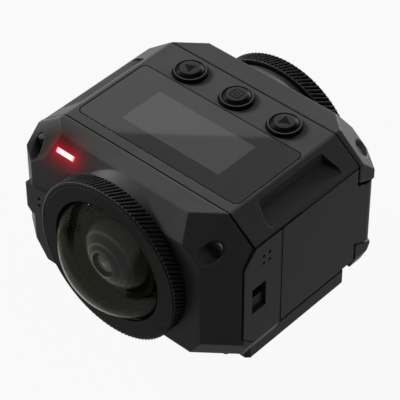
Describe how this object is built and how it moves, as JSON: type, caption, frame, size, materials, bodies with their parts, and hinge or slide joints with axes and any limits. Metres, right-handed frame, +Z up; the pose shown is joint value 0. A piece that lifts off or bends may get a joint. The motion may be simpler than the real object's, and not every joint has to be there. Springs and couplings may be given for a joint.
{
  "type": "360 degree camera",
  "caption": "Rugged pocket camera that films all round through domed fisheye lenses set back to back, with a display and buttons on top, a hinged battery door and a tripod base.",
  "frame": {"origin": "centre of the tripod thread's mouth, in the underside of the mount base", "axes": "+Z up through the display, +Y out through the rear lens so that the front lens looks along -Y, +X out through the battery door"},
  "size_m": [0.0593, 0.0698, 0.039],
  "materials": {
    "case": "fine satin texture",
    "frame": "fine matte texture",
    "ring": "ribbed, satin",
    "dome": "polished, coated",
    "lens_glass": "polished, coated",
    "lens_black": "matte black",
    "lens_metal": "black anodised",
    "seal": "matte",
    "window": "gloss, dark tinted",
    "display": "reflective",
    "tape": "matte",
    "button": "matte",
    "collar": "satin",
    "screw": "dark finish",
    "lamp": "translucent",
    "board": "solder mask",
    "chip": "satin",
    "battery": "wrapped",
    "bay": "matte",
    "contact": "gold plated",
    "socket": "plated",
    "card": "matte",
    "heatsink": "plain",
    "bushing": "nickel plated",
    "latch": "satin",
    "slider": "satin"
  },
  "bodies": {
    "camera_body": {"antenna": "chip", "base_screws": "screw", "battery": "battery", "battery_bay": "bay", "battery_contacts": "contact", "button_board": "board", "button_collars": "collar", "button_switches": "chip", "card_socket": "socket", "centre_frame": "frame", "contact_pads": "contact", "display_module": "display", "display_window": "window", "door_hinge_pin": "screw", "front_fisheye_lens": "lens_glass", "front_inner_lenses": "lens_glass", "front_lens_baffle": "lens_black", "front_lens_cell": "lens_black", "front_lens_mount": "lens_metal", "front_shell": "case", "front_shell_screws": "screw", "hdmi_socket": "socket", "heat_spreader": "heatsink", "image_sensors": "chip", "io_board": "board", "lamp_board": "board", "lamp_light_pipe": "lamp", "latch_detent_spring": "contact", "main_board": "board", "memory_card": "card", "microphones": "chip", "mount_base": "frame", "rear_fisheye_lens": "lens_glass", "rear_inner_lenses": "lens_glass", "rear_lens_baffle": "lens_black", "rear_lens_cell": "lens_black", "rear_lens_mount": "lens_metal", "rear_shell": "case", "rear_shell_screws": "screw", "sensor_boards": "board", "shell_gaskets": "seal", "slider_sensor": "chip", "top_cover": "case", "tripod_bushing": "bushing", "usb_socket": "socket", "window_tape": "tape"},
    "left_button_cap": {"left_button": "button"},
    "middle_button_cap": {"middle_button": "button"},
    "right_button_cap": {"right_button": "button"},
    "record_switch": {"record_slider": "slider", "slider_carrier": "slider"},
    "door": {"battery_door": "frame", "door_seal": "seal"},
    "latch": {"door_latch": "latch"},
    "front_ring": {"front_lens_ring": "ring", "front_dome": "dome", "front_dome_seal": "seal"},
    "rear_ring": {"rear_lens_ring": "ring", "rear_dome": "dome", "rear_dome_seal": "seal"}
  },
  "joints": [
    {"name": "left_button_press", "type": "slide", "parent": "camera_body", "child": "left_button_cap", "axis": [0, 0, -1], "range_m": [0, 0.0005], "stiffness_N_per_m": 600, "springref_m": -0.0004},
    {"name": "middle_button_press", "type": "slide", "parent": "camera_body", "child": "middle_button_cap", "axis": [0, 0, -1], "range_m": [0, 0.0005], "stiffness_N_per_m": 600, "springref_m": -0.0004},
    {"name": "right_button_press", "type": "slide", "parent": "camera_body", "child": "right_button_cap", "axis": [0, 0, -1], "range_m": [0, 0.0005], "stiffness_N_per_m": 600, "springref_m": -0.0004},
    {"name": "record_slide", "type": "slide", "parent": "camera_body", "child": "record_switch", "axis": [0, -1, 0], "range_m": [0, 0.006]},
    {"name": "door_hinge", "type": "hinge", "parent": "camera_body", "child": "door", "pos_m": [0.0266, 0.0194, 0.0181], "axis": [0, 0, 1], "range_deg": [0, 95]},
    {"name": "latch_slide", "type": "slide", "parent": "camera_body", "child": "latch", "axis": [0, 0, 1], "range_m": [0, 0.0024]},
    {"name": "front_ring_twist", "type": "hinge", "parent": "camera_body", "child": "front_ring", "pos_m": [0, -0.0262, 0.01887], "axis": [0, -1, 0], "range_deg": [0, 50]},
    {"name": "rear_ring_twist", "type": "hinge", "parent": "camera_body", "child": "rear_ring", "pos_m": [0, 0.0262, 0.01887], "axis": [0, 1, 0], "range_deg": [0, 50]}
  ]
}
